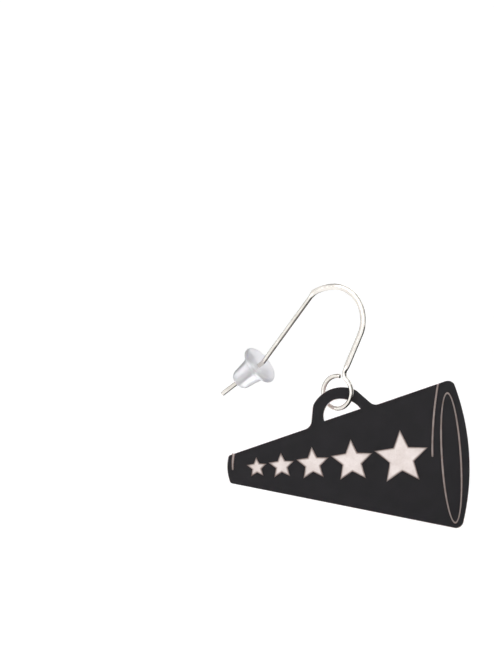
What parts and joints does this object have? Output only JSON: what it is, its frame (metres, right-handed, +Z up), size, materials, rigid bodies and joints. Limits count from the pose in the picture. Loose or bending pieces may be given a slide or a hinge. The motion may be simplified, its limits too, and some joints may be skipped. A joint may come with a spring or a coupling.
{
  "type": "drop earring",
  "caption": "Drop earring: flat engraved megaphone charm swinging from the loop of a bent ear wire, with a soft sliding ear nut on the tail.",
  "frame": {"origin": "centre line of the ear wire at the crest of its bow, where the ear carries the earring", "axes": "+Z up as worn; the charm lies in the XZ plane with its engraved face towards -Y and its mouth towards +X; the ear wire's plane is turned 37 degrees about Z, its tail going back to -X +Y"},
  "size_m": [0.038, 0.0162, 0.0382],
  "materials": {
    "charm_core": "matte, laser-cut edge",
    "charm_cap": "satin black cap layer",
    "ear_wire": "bright silver plate",
    "ear_nut": "clear soft silicone"
  },
  "bodies": {
    "ear_wire": {"ear_wire": "ear_wire"},
    "charm": {"charm_core": "charm_core", "charm_face": "charm_cap", "mouth_face": "charm_cap"},
    "ear_nut": {"ear_nut": "ear_nut"}
  },
  "joints": [
    {"name": "charm_swing", "type": "hinge", "parent": "ear_wire", "child": "charm", "pos_m": [0.00043, -0.00032, -0.019], "axis": [0.7986, -0.6018, 0], "range_deg": [-20, 10]},
    {"name": "ear_nut_slide", "type": "slide", "parent": "ear_wire", "child": "ear_nut", "axis": [-0.666, 0.5018, -0.5519], "range_m": [0, 0.0105]}
  ]
}
